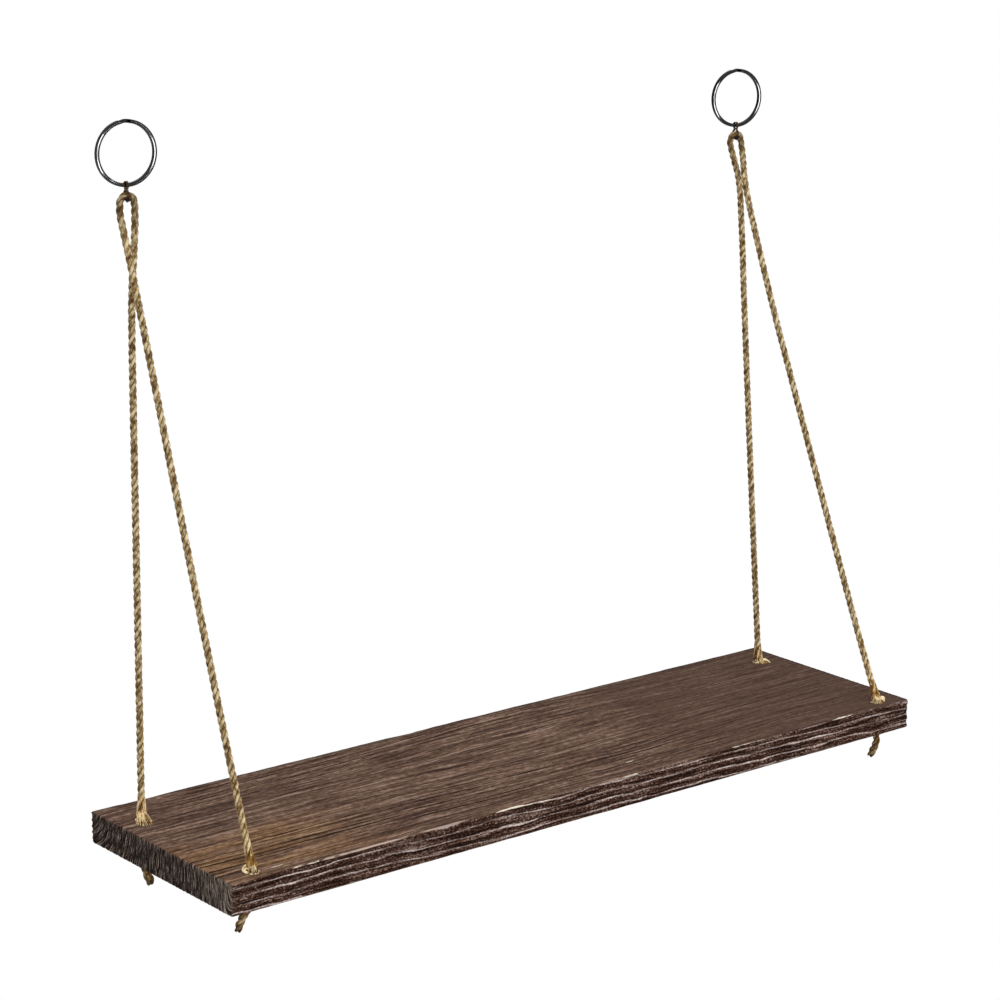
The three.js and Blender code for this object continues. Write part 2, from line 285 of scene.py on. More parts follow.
def put(tree, kind, inputs=None, stops=(), **settings):
    """Adds a node. inputs maps a socket's name or number to a value, to another node's socket, or to a
    node, which stands for its first output in use."""
    node = tree.nodes.new("ShaderNode" + kind)
    for name, value in settings.items():
        setattr(node, name, value)
    for name, value in (inputs or {}).items():
        if isinstance(value, bpy.types.Node):
            value = next(socket for socket in value.outputs if socket.enabled)
        if isinstance(value, bpy.types.NodeSocket):
            tree.links.new(value, node.inputs[name])
        else:
            node.inputs[name].default_value = value
    for k, (place, colour) in enumerate(stops):
        if k >= len(node.color_ramp.elements):
            node.color_ramp.elements.new(place)
        node.color_ramp.elements[k].position = place
        node.color_ramp.elements[k].color = linear(colour)
    return node


def new_material(name):
    """An empty material, its node tree and its output's surface socket."""
    material = bpy.data.materials.new(name)
    material.use_nodes = True
    tree = material.node_tree
    tree.nodes.clear()
    return material, tree, put(tree, "OutputMaterial").inputs["Surface"]


# %% [markdown]
# Jute is a coarse bast fibre, straw brown with grey and reddish strands, and quite dull: rough to the
# hand, so a high roughness, with a faint sheen from loose hairs. The fibres of each strand are twisted
# against the rope's lay. The pattern reads the tube's own UV map, so it follows every bend, and turning
# the angle round the strand into a circle keeps the pattern whole where the map's ends meet. Three
# attributes on the mesh say the rest: which strands are darker, how dark each place is, with painted
# shade and grime in the grooves between strands, and how bleached the rope is by wear and glue near the
# holes.

# %% Jute, laid in strands
def jute(name, straw, fresh, fibre_pitch):
    """Jute in three shades of straw, and in three more where it is bleached."""
    material, tree, surface = new_material(name)
    uv = put(tree, "UVMap", uv_map="UVMap")
    apart = put(tree, "SeparateXYZ", {"Vector": uv})
    wound = put(tree, "Math", {0: apart.outputs["X"], 1: fibre_pitch, 2: apart.outputs["Y"]},
                operation="MULTIPLY_ADD")
    angle = put(tree, "Math", {0: wound, 1: 2 * math.pi}, operation="MULTIPLY")
    across = put(tree, "Math", {0: angle}, operation="COSINE")
    beside = put(tree, "Math", {0: angle}, operation="SINE")
    along = put(tree, "Math", {0: apart.outputs["X"], 1: 90.0}, operation="MULTIPLY")
    ring = put(tree, "CombineXYZ", {"X": across, "Y": beside, "Z": along})
    fibres = put(tree, "TexNoise", {"Vector": ring, "Scale": 3.2, "Detail": 5.0, "Roughness": 0.7})
    place = put(tree, "TexCoord").outputs["Object"]
    patches = put(tree, "TexNoise", {"Vector": place, "Scale": 330.0, "Detail": 3.0})
    blend = put(tree, "Math", {0: patches, 1: 0.8, 2: -0.4}, operation="MULTIPLY_ADD")
    shade = put(tree, "Math", {0: fibres, 1: blend}, operation="ADD")
    tone = put(tree, "Attribute", attribute_name="tone")
    shade = put(tree, "Math", {0: tone.outputs["Fac"], 1: 0.12, 2: shade}, operation="MULTIPLY_ADD")
    dull = put(tree, "ValToRGB", {"Fac": shade}, stops=list(zip((0.36, 0.5, 0.64), straw)))
    pale = put(tree, "ValToRGB", {"Fac": shade}, stops=list(zip((0.34, 0.46, 0.62), fresh)))
    bleached = put(tree, "Attribute", attribute_name="bleached")
    colour = put(tree, "Mix", {0: bleached.outputs["Fac"], 6: dull, 7: pale}, data_type="RGBA")
    # Painted shade and grime: the deep attribute darkens the colour, most of all in the grooves between
    # strands.
    deep = put(tree, "Attribute", attribute_name="deep")
    colour = put(tree, "Mix", {0: deep.outputs["Fac"], 6: colour, 7: linear("3a260b")}, data_type="RGBA")
    bump = put(tree, "Bump", {"Height": fibres, "Strength": 0.75, "Distance": 0.12 * MM})
    shader = put(tree, "BsdfPrincipled", {
        "Base Color": colour, "Roughness": 0.86, "Specular IOR Level": 0.25,
        "Sheen Weight": 0.05, "Sheen Roughness": 0.5, "Normal": bump})
    tree.links.new(shader.outputs["BSDF"], surface)
    return material


BLEACHED = ("6b4515", "d2a659", "fae6ba")
jute_rope = jute("laid_jute", ("5c401d", "a08759", "dac69e"), BLEACHED, 110.0)
waxed_twine = jute("waxed_twine", ("1e0f05", "432b12", "7a5a30"), BLEACHED, 300.0)


# %% [markdown]
# The three strands of each rope press into each other, so their middles lie a little closer to the
# rope's than round strands would. Rope is never quite even, so each strand swells and thins slowly along
# its way. At a hole they unlay: the turns grow longer, the strands spread, and their yarns come apart in
# a little broom that fills the hole's mouth. Pale and dark yarns lie side by side in it.

# %% The two ropes
ROPE_PITCH = 13.5 * MM
STRAND_R = 1.0 * MM
STRAND_OFF = 1.1 * MM
UNLAY = 12 * MM
YARNS = 13
BROOM = slice(1, 17)
BLEACHED_RUN, FAINT_RUN = 14 * MM, 60 * MM
GROOVE_EDGE, GROOVE_SOFT = 1.78 * MM, 0.36 * MM
GRIMY_Z, GRIMY_RUN = -64 * MM, 16 * MM
TIP_DARK_RUN, TIP_DARK_SOFT = 5 * MM, 3.6 * MM
BOARD_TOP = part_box("shelf_board")[1].z
BOARD_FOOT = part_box("shelf_board")[0].z


def uneven(line, seed, share, run):
    """A slow, seeded variation along a line, round 1, by a share of it over runs of that length."""
    return np.array([1 + share * noise.noise(Vector((seed, k * ROPE_STEP / run, 0)))
                     for k in range(len(line))])


def bleach(mesh):
    """Marks how pale each point is: fully at the board, less for a little way up, faintly beyond."""
    co = np.zeros(len(mesh.vertices) * 3)
    mesh.vertices.foreach_get("co", co)
    above = co[2::3] - BOARD_TOP
    near = np.clip(1.25 - above / BLEACHED_RUN, 0, 1)
    far = np.clip(1 - above / FAINT_RUN, 0, 1)
    mark(mesh, "bleached", np.clip(0.25 * far + 0.9 * near, 0, 1))


def deepen(mesh, line):
    """Marks how dark each point is: painted shade and grime in the grooves round a line, a handled bight,
    a dark tip.
    """
    near = KDTree(len(line))
    for k, point in enumerate(line):
        near.insert(point, k)
    near.balance()
    away = np.array([near.find(vert.co)[2] for vert in mesh.vertices])
    groove_shade_and_grime = np.array([0.72 + 0.5 * noise.noise(vert.co * 170) for vert in mesh.vertices])
    height = np.array([vert.co.z for vert in mesh.vertices])
    bend = np.clip((height - BIGHT_FOOT_Z) / (30 * MM), 0, 1)
    # Painted shade and grime: points near the line, down in the grooves between strands, are darkened.
    share = np.clip((GROOVE_EDGE - away) / GROOVE_SOFT, 0, 1) * groove_shade_and_grime * (1 - 0.75 * bend)
    share += 0.42 * np.clip((height - GRIMY_Z) / GRIMY_RUN, 0, 1)
    # On a tail, the colour darkens towards the cut end.
    if height.max() < BOARD_TOP:
        tip_darkening = np.clip((height.min() + TIP_DARK_RUN - height) / TIP_DARK_SOFT, 0, 1)
        share = np.maximum(share, 0.95 * tip_darkening)
    mark(mesh, "deep", share)


def rope(name, line, side, ends):
    height = line[:, 2] - BOARD_TOP
    loose = np.clip(1 - height / UNLAY, 0, 1)
    lines = laid(line, 3, ROPE_PITCH * (1 + 1.6 * loose), STRAND_OFF + 0.9 * MM * loose**1.3)
    radii = [STRAND_R * (1 - 0.22 * loose) * uneven(line, 7.3 * k + ends, 0.09, 9 * MM)
             for k in range(3)]
    tones = [-0.5, 0.1, 0.5]
    for foot in (line[BROOM], line[::-1][BROOM]):
        broom = laid(foot, YARNS, 60 * MM, np.linspace(2.7, 1.75, len(foot)) * MM, start=ends)
        for yarn in broom:
            lines.append(yarn[draw.randint(0, 1):len(yarn) - draw.randint(0, 7)])
            radii.append(np.linspace(0.42, 0.26, len(lines[-1])) * MM)
            tones.append(draw.choice((-1.6, -0.9, 0.3, 1.0)))
    mesh = tubes(name, lines, radii, tones)
    bleach(mesh)
    deepen(mesh, line)
    made = piece(name, mesh, jute_rope, side + "_rope", "jute_rope", side + "_rope")


rope("left_hanging_rope", left_line, "left", 1.0)
rope("right_hanging_rope", right_line, "right", 2.0)

# %% [markdown]
# Below the board each rope ends in a short tail. It starts inside the hole, where it meets the free
# rope, and curls as the rope's lay wants to. Its strands get dark tones, and the colour darkens further
# towards the cut end, which narrows and holds together.

# %% The rope ends
HOLES = [(side, place) for side in ("left", "right") for place in ("back", "front")]
PUFF = dict(zip(HOLES, (0.32, 0.1, 0.1, 0.15)))


def hole_of(side, place):
    """Where a hole's axis meets the board's top."""
    low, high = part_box(f"{side}_{place}_plug")
    return Vector(((low.x + high.x) / 2, (low.y + high.y) / 2, BOARD_TOP))


def rope_end(side, place):
    node = f"{side}_{place}_rope_end"
    hole = hole_of(side, place)
    top = Vector((hole.x, hole.y, BOARD_TOP - 1.2 * MM))
    foot = Vector((hole.x, hole.y, BOARD_FOOT))
    points = [top, (top + foot) / 2, foot + Vector((0, 0, ROPE_D / 2))]
    points += [foot + Vector(p) for p in TAILS[f"{side}_{place}"]]
    line = smooth_line(points, ROPE_STEP)
    along = np.linspace(0, 1, len(line))
    closing = np.clip((along - 0.9) / 0.1, 0, 1)
    puffed = 1 + PUFF[side, place] * np.clip((along - 0.55) / 0.3, 0, 1)
    lines = laid(line, 3, ROPE_PITCH, (STRAND_OFF - 0.2 * MM * closing) * puffed, start=hole.x * 90)
    radii = [STRAND_R * uneven(strand, 3.1 * k, 0.09, 9 * MM) * (1 - 0.3 * closing**2) * puffed
             for k, strand in enumerate(lines)]
    mesh = tubes(node, lines, radii, (-1.1, -0.6, -0.1))
    deepen(mesh, line)
    piece(f"{side}_{place}_tail", mesh, jute_rope, "board", "jute_rope", node)


for side, place in HOLES:
    rope_end(side, place)

# %% [markdown]
# In each hole the rope is held by set glue, and frayed fibres stand out of it. The lump of glue is a
# profile spun round the rope and made uneven, so it shows in some places only. It is cloudy and cream,
# with a soft gloss, like a hot-melt stick once it is cold. The fibres are tapered tubes that leave the
# rope and bend out to the rim.

# %% Glue and frayed fibres
def cream_glue():
    material, tree, surface = new_material("cream_hot_melt")
    place = put(tree, "TexCoord").outputs["Object"]
    cloud = put(tree, "TexNoise", {"Vector": place, "Scale": 700.0, "Detail": 4.0})
    colour = put(tree, "ValToRGB", {"Fac": cloud},
                 stops=[(0.42, "3c2c1b"), (0.52, "97794d"), (0.62, "ecdcb4")])
    bump = put(tree, "Bump", {"Height": cloud, "Strength": 0.5, "Distance": 0.2 * MM})
    shader = put(tree, "BsdfPrincipled", {
        "Base Color": colour, "Roughness": 0.5, "Subsurface Weight": 0.15,
        "Subsurface Scale": 1.0 * MM, "Normal": bump})
    tree.links.new(shader.outputs["BSDF"], surface)
    return material


glue = cream_glue()


def glue_lump(side, place):
    node = f"{side}_{place}_plug"
    low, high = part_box(node)
    hole = hole_of(side, place)
    wall = (high.x - low.x) / 2
    bore = ROPE_D / 2 + 0.3 * MM
    profile = [(bore, low.z), (wall - 0.45 * MM, low.z), (wall - 0.45 * MM, BOARD_TOP - 0.9 * MM),
               (wall - 0.1 * MM, BOARD_TOP + 0.05 * MM), (wall - 0.5 * MM, high.z - 0.5 * MM),
               (wall - 1.2 * MM, high.z - 0.1 * MM), (bore + 0.75 * MM, high.z - 0.5 * MM),
               (bore, BOARD_TOP - 3 * MM)]
    shape = bmesh.new()
    corners = [shape.verts.new((hole.x + r, hole.y, z)) for r, z in profile]
    edges = [shape.edges.new((a, b)) for a, b in zip(corners, corners[1:] + corners[:1])]
    bmesh.ops.subdivide_edges(shape, edges=edges[2:7], cuts=2)
    bmesh.ops.spin(shape, geom=shape.verts[:] + shape.edges[:], cent=hole, axis=(0, 0, 1),
                   angle=2 * math.pi, steps=36, use_merge=True)
    bmesh.ops.remove_doubles(shape, verts=shape.verts, dist=1e-6)
    for vert in shape.verts:
        if vert.co.z > BOARD_TOP - 1.0 * MM:
            uneven_by = noise.noise(vert.co * 260) * 1.1 + noise.noise(vert.co * 1300) * 0.35 - 0.15
            out = Vector((vert.co.x - hole.x, vert.co.y - hole.y, 0)).normalized()
            vert.co += (out * 0.4 + Vector((0, 0, 0.9))) * uneven_by * MM
    bmesh.ops.recalc_face_normals(shape, faces=shape.faces)
    piece(f"{side}_{place}_glue", meshed(node, shape), glue, "board", "pale_glue", node)


def frayed(side, place, count, reach, lift, flare, lean, loops):
    """Fibres that leave the rope above a hole and bend out past its rim, and thicker loops of yarn."""
    hole = hole_of(side, place)
    lines, radii, tones = [], [], []
    for k in range(count):
        turn = 2 * math.pi * (k + draw.uniform(-0.4, 0.4)) / count
        out = Vector((math.cos(turn), math.sin(turn), 0))
        aside = Vector((-out.y, out.x, 0)) * draw.uniform(-0.7, 0.7) * MM
        far = draw.uniform(*reach) * (1 + flare * max(0, -out.y)) * MM
        rise = draw.uniform(*lift) * MM
        points = [hole + out * 1.9 * MM + Vector((0, 0, rise + 3.2 * MM)),
                  hole + out * 2.5 * MM + Vector((0, 0, rise + 1.2 * MM)) + aside * 0.3,
                  hole + out * 0.8 * far + Vector((0, 0, rise * 0.6)) + aside * 0.7,
                  hole + out * far + Vector((0, 0, draw.uniform(-0.1, 0.3) * MM)) + aside]
        line = smooth_line(points, 0.35 * MM)
        lines.append(line)
        radii.append(np.linspace(0.36, 0.14, len(line)) * MM)
        tones.append(draw.choice((-1.8, -0.5, 0.5, 1.2)))
    for line in lines:
        line += np.outer(np.linspace(0, 1, len(line)) ** 2, (lean[0] * MM, lean[1] * MM, 0))
    for turn, far, rise, thick in loops:
        out = Vector((math.cos(math.radians(turn)), math.sin(math.radians(turn)), 0))
        aside = Vector((-out.y, out.x, 0)) * 0.7 * MM
        points = [hole + out * 1.6 * MM + Vector((0, 0, (rise + 1.2) * MM)),
                  hole + out * 0.75 * far * MM + Vector((0, 0, (rise + 1.4) * MM)) - aside,
                  hole + out * far * MM + Vector((0, 0, 0.6 * rise * MM)),
                  hole + out * 0.8 * far * MM + Vector((0, 0, 0.3 * MM)) + aside,
                  hole + out * 2.6 * MM + Vector((0, 0, 0.1 * MM)) + aside]
        lines.append(smooth_line(points, 0.3 * MM))
        radii.append(thick * MM)
        tones.append(1.8)
    mesh = tubes(f"{side}_{place}_frays", lines, radii, tones, sides=6)
    bleach(mesh)
    piece(f"{side}_{place}_frays", mesh, jute_rope, "board", "jute_rope")


FRAYS = {("left", "back"): (46, (2.8, 4.2), (0.8, 3.0), 0.6, (-2.4, -4.8), ()),
         ("left", "front"): (18, (2.3, 3.1), (0.4, 1.4), 0.1, (0, -0.4), ((141, 5.2, 1.8, 0.75),
                                                                       (160, 4.4, 0.8, 0.6))),
         ("right", "back"): (30, (3.0, 4.4), (0.6, 1.8), 0.4, (0.6, -0.9), ((-50, 7.6, 0.3, 0.55),
                                                                          (-36, 6.4, 0.7, 0.5))),
         ("right", "front"): (20, (2.8, 3.8), (0.4, 1.2), 0.1, (0, -0.4), ((-8, 5.6, 1.3, 0.9),
                                                                         (-30, 4.6, 0.7, 0.7)))}
for side, place in HOLES:
    glue_lump(side, place)
for side, place in HOLES:
    frayed(side, place, *FRAYS[side, place])

# %% [markdown]
# A split ring is one wire wound twice, and its two turns nearly touch. Halfway, the wire steps from the
# front turn to the back one, and each end of the wire stops at that step. A spin makes just this: a
# section turned about an axis. With a shift along the axis for each step it makes the joggle, whose
# corners are then eased. Black nickel is a dark mirror, nearly black itself. The flat of the wire rises
# to a low ridge, and its borders fall off more steeply, so a lamp that the slopes mirror draws a thin
# line of light down the wire. The borders also get a near-black colour and the flats a lighter one:
# painted shade that keeps the borders dark, and a lighter flat that brightens the line of light.

# %% Black nickel
def black_nickel():
    material, tree, surface = new_material("black_nickel")
    place = put(tree, "TexCoord").outputs["Object"]
    wear = put(tree, "TexNoise", {"Vector": place, "Scale": 500.0, "Detail": 5.0})
    rough = put(tree, "MapRange", {"Value": wear, "From Min": 0.3, "From Max": 0.7,
                                   "To Min": 0.04, "To Max": 0.08})
    # Painted shade: faces turned away from the ring's axis get a near-black colour, and the flats facing
    # along it a lighter one that mirrors the strips more brightly.
    normal = put(tree, "SeparateXYZ", {"Vector": put(tree, "TexCoord").outputs["Normal"]}).outputs["Y"]
    flat = put(tree, "Math", {0: normal}, operation="ABSOLUTE")
    flat = put(tree, "MapRange", {"Value": flat, "From Min": 0.7, "From Max": 0.95})
    colour = put(tree, "Mix", {0: flat, 6: linear("0b0b0b"), 7: linear("302f2f")}, data_type="RGBA")
    shader = put(tree, "BsdfPrincipled", {"Base Color": colour, "Metallic": 1.0, "Roughness": rough})
    tree.links.new(shader.outputs["BSDF"], surface)
    return material


nickel = black_nickel()

# %% The split rings
RING_MEAN_R = 17.15 * MM
LEFT_RING_X = -RING_X + 1.1 * MM
WIRE_WIDTH = 2.1 * MM
WIRE_THICKNESS = 1.05 * MM
TURN_PITCH = 1.3 * MM
RING_TURNS = {"left": math.radians(5), "right": math.radians(9.5)}
ROOF = [(-1, -0.62), (-0.6, -0.895), (0, -1), (0.6, -0.895), (1, -0.62),
        (1, 0.62), (0.6, 0.895), (0, 1), (-0.6, 0.895), (-1, 0.62)]
FLAT_STEPS, JOGGLE_STEPS = 90, 14
JOGGLE = math.radians(17)
JOGGLE_RISE = 0.15 * MM
JOGGLE_PLACE = math.radians(-3)
END_GAP = math.radians(2)


def split_ring(side, x):
    centre = Vector((0, 0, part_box(f"{side}_ring")[0].z + RING_MEAN_R + WIRE_WIDTH / 2))
    shape = bmesh.new()
    first = JOGGLE_PLACE + JOGGLE / 2 + END_GAP
    out = Vector((math.sin(first), 0, math.cos(first)))
    section = []
    for (x0, y0), (x1, y1) in zip(ROOF, ROOF[1:] + ROOF[:1]):
        for share in (0.08, 0.16, 0.84, 0.92):
            across = (x0 + (x1 - x0) * share) * WIRE_WIDTH / 2
            along = (y0 + (y1 - y0) * share) * WIRE_THICKNESS / 2 - TURN_PITCH / 2
            section.append(shape.verts.new(centre + out * (RING_MEAN_R + across) + Vector((0, along, 0))))
    flat = 2 * math.pi - JOGGLE - END_GAP
    geom = section + [shape.edges.new(ends) for ends in zip(section, section[1:] + section[:1])]
    start_cap = [e for e in geom if isinstance(e, bmesh.types.BMEdge)]
    bmesh.ops.contextual_create(shape, geom=start_cap)
    stretches = [(flat, 0, FLAT_STEPS), (JOGGLE, TURN_PITCH, JOGGLE_STEPS), (flat, 0, FLAT_STEPS)]
    for angle, shift, steps in stretches:
        step = Vector((0, shift / steps, 0))
        spun = bmesh.ops.spin(shape, geom=geom, cent=centre, axis=(0, 1, 0), dvec=step, angle=angle,
                              steps=steps)
        geom = [g for g in spun["geom_last"] if not isinstance(g, bmesh.types.BMFace)]
    bmesh.ops.contextual_create(shape, geom=[g for g in geom if isinstance(g, bmesh.types.BMEdge)])
    bmesh.ops.remove_doubles(shape, verts=shape.verts, dist=1e-7)
    for vert in shape.verts:
        arm = vert.co - centre
        from_joggle = (math.atan2(arm.x, arm.z) - JOGGLE_PLACE) / (JOGGLE / 2)
        if abs(from_joggle) < 1:
            rise = JOGGLE_RISE * math.cos(math.pi / 2 * from_joggle) ** 2
            passed = (from_joggle + 1) / 2
            eased = passed**2 * (3 - 2 * passed) - passed
            vert.co += Vector((arm.x, 0, arm.z)).normalized() * rise + Vector((0, TURN_PITCH * eased, 0))
    bmesh.ops.rotate(shape, verts=shape.verts, cent=(0, 0, 0),
                     matrix=Matrix.Rotation(-RING_TURNS[side], 3, "Z"))
    bmesh.ops.translate(shape, verts=shape.verts, vec=(x, 0, 0))
    bmesh.ops.recalc_face_normals(shape, faces=shape.faces)
    node = f"{side}_ring"
    piece(f"{side}_split_ring", meshed(node, shape), nickel, "rings", "black_nickel", node)


split_ring("left", LEFT_RING_X)
split_ring("right", RING_X)

# %% [markdown]
# The tie is a bit of two-ply twine, taken double, once round the ring and the rope's bight and drawn in
# between them, knotted in front. Two thin strands laid round the winding's line make the twine.

# %% The twine ties
TWINE_D = 1.0 * MM
TWINE_PITCH = 1.5 * MM
EYE = 2.02 * MM
WAIST = 1.3 * MM
FOOT_Z = -33.25 * MM
CREST_Z = BEND_Z + BEND
BELLY = ROPE_D / 2 + 0.4 * MM + TWINE_D / 2
DROP = 3.4 * MM
DOUBLED = 0.45 * MM
TIE_TAIL = 1.6 * MM
LEFT_TIE_X = -RING_X + 0.8 * MM
PLY_R, PLY_OFF, PLY_PITCH = 0.23 * MM, 0.19 * MM, 2.2 * MM


def tie_line(x):
    """The winding's middle line: from one hanging tail, round rope and ring, to the other end."""
    def eye(turn):
        return EYE * math.cos(turn), FOOT_Z + EYE * math.sin(turn)

    def belly(turn):
        return BELLY * math.cos(turn), CREST_Z + (DROP if math.sin(turn) < 0 else BELLY) * math.sin(turn)

    waist_z = (FOOT_Z - EYE + CREST_Z + BELLY) / 2
    right_side = [eye(math.radians(a)) for a in (35, 5, -30)]
    left_side = [(-y, z) for y, z in reversed(right_side)]
    outline = [*(belly(math.radians(a)) for a in (205, 180, 155)), (-WAIST, waist_z), *left_side,
               *(eye(math.radians(a)) for a in (115, 65)), *right_side, (WAIST, waist_z),
               *(belly(math.radians(a)) for a in (25, 0, -40, -90, -140, -155))]
    last = len(outline) - 1
    wound = [Vector((x + TWINE_PITCH * (k / last - 0.5), y, z)) for k, (y, z) in enumerate(outline)]
    tail = wound[0] + Vector((-TIE_TAIL / 2, -TIE_TAIL / 3, -TIE_TAIL))
    return [tail, (tail + wound[0]) / 2, wound[0] - Vector((0, 0, TWINE_D / 2)), *wound]


def knot_line(x):
    """An overhand knot's middle line, small and tight, in front of the bight."""
    centre = Vector((x - 1.5 * MM, -BELLY + 0.1 * MM, CREST_Z - 1.9 * MM))
    found = []
    for k in range(25):
        t = 2 * math.pi * k / 24
        found.append(centre + Vector(((math.sin(t) + 1.6 * math.sin(2 * t)) * 0.55,
                                      -math.sin(3 * t) * 0.5,
                                      (math.cos(t) - 1.6 * math.cos(2 * t)) * 0.55)) * MM)
    return found


def tie(side, x):
    lines, radii, tones = [], [], []
    for points in (tie_line(x - DOUBLED), tie_line(x + DOUBLED), knot_line(x)):
        line = smooth_line(points, 0.12 * MM)
        lines += laid(line, 2, PLY_PITCH, PLY_OFF)
        radii += [PLY_R] * 2
        tones += [-0.6, 0.6]
    tones[-2:] = [-1.5, -1.2]
    mesh = tubes(f"{side}_tie", lines, radii, tones, sides=8)
    # The twine is marked darker from about 2 mm below the ring's foot upward, where it winds round the
    # ring.
    mark(mesh, "deep", [0.85 * max(0, min(1, (vert.co.z - FOOT_Z + 2.6 * MM) / (1.2 * MM)))
                        for vert in mesh.vertices])
    piece(f"{side}_twine_tie", mesh, waxed_twine, f"{side}_tie", "brown_twine", f"{side}_tie")


tie("left", LEFT_TIE_X)
tie("right", RING_X)

# %% [markdown]
# The board is softwood that was torched black and then brushed with wire. The brush tears the soft
# spring wood out and leaves the hard rings standing, so the relief follows the growth rings, which are
# nearly circles round the tree's heart. One function counts the rings outward from the heart for any
# point. The block is a fine grid, and each point is moved along its face's normal by that ring's height.
# The count also goes into an attribute, with which way each face looks and how bare the wood is there,
# so the colours keep to the same rings.

# %% A finely divided board with four holes
HOLE_R = 4.1 * MM
DRILL_LENGTH, DRILL_SUNK = 40 * MM, 9 * MM
GRID = (159, 199, 33)
ROUND = 1.1 * MM
ROUND_STEPS = 3


def divided_block(low, high):
    middle, half = (low + high) / 2, (high - low) / 2
    block = bmesh.new()
    bmesh.ops.create_cube(block, size=2)
    for axis, cuts in enumerate(GRID):
        along = [e for e in block.edges if abs(e.verts[0].co[axis] - e.verts[1].co[axis]) > 0.01]
        bmesh.ops.subdivide_edges(block, edges=along, cuts=cuts, use_grid_fill=True)
    for vert in block.verts:
        inner, outer = Vector(), Vector()
        for axis, cuts in enumerate(GRID):
            edge = 1 - ROUND_STEPS * 2 / (cuts + 1)
            u = vert.co[axis]
            inner[axis] = max(-1, min(1, u / edge)) * (half[axis] - ROUND)
            outer[axis] = math.copysign(max(0, abs(u) - edge) / (1 - edge), u) * ROUND
        if outer.length > 0:
            outer *= ROUND / outer.length
        vert.co = middle + inner + outer
    return block


def drilled(block):
    """The block as a mesh with its four holes cut through."""
    carrier = placed("board", meshed("board", block))
    drills = bmesh.new()
    for side, place in HOLES:
        hole = hole_of(side, place)
        bmesh.ops.create_cone(drills, cap_ends=True, segments=40, radius1=HOLE_R, radius2=HOLE_R,
                              depth=DRILL_LENGTH,
                              matrix=Matrix.Translation(hole - Vector((0, 0, DRILL_SUNK))))
    cutter = placed("drills", meshed("drills", drills))
    cut = carrier.modifiers.new("holes", "BOOLEAN")
    cut.operation, cut.object, cut.solver = "DIFFERENCE", cutter, "EXACT"
    bpy.context.view_layer.update()
    made = bpy.data.meshes.new_from_object(carrier.evaluated_get(bpy.context.evaluated_depsgraph_get()))
    bpy.data.objects.remove(carrier)
    bpy.data.objects.remove(cutter)
    return made


# %% Growth rings and the relief that brushing leaves
HEART_BACK = 5.0
HEART_UP = 5.0
RING = 3.4
DEEP_EVERY = 1.3
KNOT = (15.0, 52.0)
BROAD = 141.4


def wood_noise(x, v, w, run, girth, seed=0.0):
    """Noise that is run mm long with the grain and girth mm across it, from -1 to 1."""
    return noise.noise(Vector((x / run + seed, v / girth, w / girth)))


def rings_at(x, v, w):
    """Growth rings between the heart and a point x along, v from the back edge, w above the top."""
    drift = 2.4 * wood_noise(x, v, w, 170, 60) + 1.0 * wood_noise(x, v, w, 50, 18, 5)
    parted = 9 * math.exp(-((x - KNOT[0]) / 120) ** 2) * math.tanh((v - KNOT[1]) / 22)
    parted *= max(0, min(1, (BROAD - 2 - v) / 30))
    reach = math.hypot(v - parted + HEART_BACK, w - HEART_UP)
    lean = (0.2 * v / BROAD + 0.62 * math.exp((v - BROAD) / 4)) * (w + 9 + x / 85)
    return (reach + drift + lean) / RING


def relief(x, v, w, face):
    """The height in mm that brushing leaves at a point of a surface."""
    count = rings_at(x, v, w)
    ridge = math.exp(-((count % 1 - 0.5) / 0.17) ** 2)
    from_deep = abs((count / DEEP_EVERY + 0.5) % 1 - 0.5) * DEEP_EVERY
    groove = math.exp(-(from_deep / 0.16) ** 2)
    ridge *= max(0.3, min(1, 0.85 + 0.9 * wood_noise(x, v, w, 60, 7, 3)))
    groove *= max(0, min(1, 1.6 * wood_noise(x, v, w, 60, 11, 6) + 0.4))
    rough = wood_noise(x, v, w, 9, 1.6, 2)
    crumbs = wood_noise(x, v, w, 4, 2.2, 9)
    wrinkled = max(0.2, min(1, (130 - x) / 60) * (1 if v < 44 or 92 < v < 132 else 0.3))
    top, edge, end = face
    height = top * (-0.5 * groove * wrinkled + 0.1 * rough + 0.12 * crumbs * min(1, wrinkled + 0.3))
    height += edge * (0.95 * ridge - 0.5 + 0.25 * rough)
    return height + end * (0.4 * ridge - 0.25 + 0.2 * wood_noise(x, v, w, 1.6, 1.6, 4))


SPLINTERS = [(-68, 9, 0.0, 1.0), (-50, 16, 0.05, 0.95), (24, 5, 0.0, 0.8), (-196, 24, 0.0, 0.62),
             (120, 16, 0.0, 0.55), (205, 20, 0.0, 0.6)]
CHIPS = [(38, 123, 3.0, 0.9, 0.95), (-221, 134, 8.0, 0.7, 0.75), (-60, 128, 4, 0.6, 0.6)]


def bare(x, v, w):
    """How bare the wood is: splinters torn off the front edge's top arris, and chips in the top."""
    found = max(0, 0.75 * wood_noise(x, v, w, 30, 5, 8)) * math.exp(
        -((v - BROAD + 0.2) / 0.9) ** 2 - ((w + 0.4) / 0.6) ** 2)
    for place, size, dip, depth in SPLINTERS:
        sunk = w + 0.35 + dip * (x - place + size)
        found += depth * math.exp(-((x - place) / size) ** 4 - (sunk / 0.45) ** 2
                                  - ((v - BROAD) / 1.1) ** 2)
    for place, across, size, girth, depth in CHIPS:
        found += depth * math.exp(-((x - place) / size) ** 4 - ((v - across) / girth) ** 2) * (w > -1)
    return min(1, found)


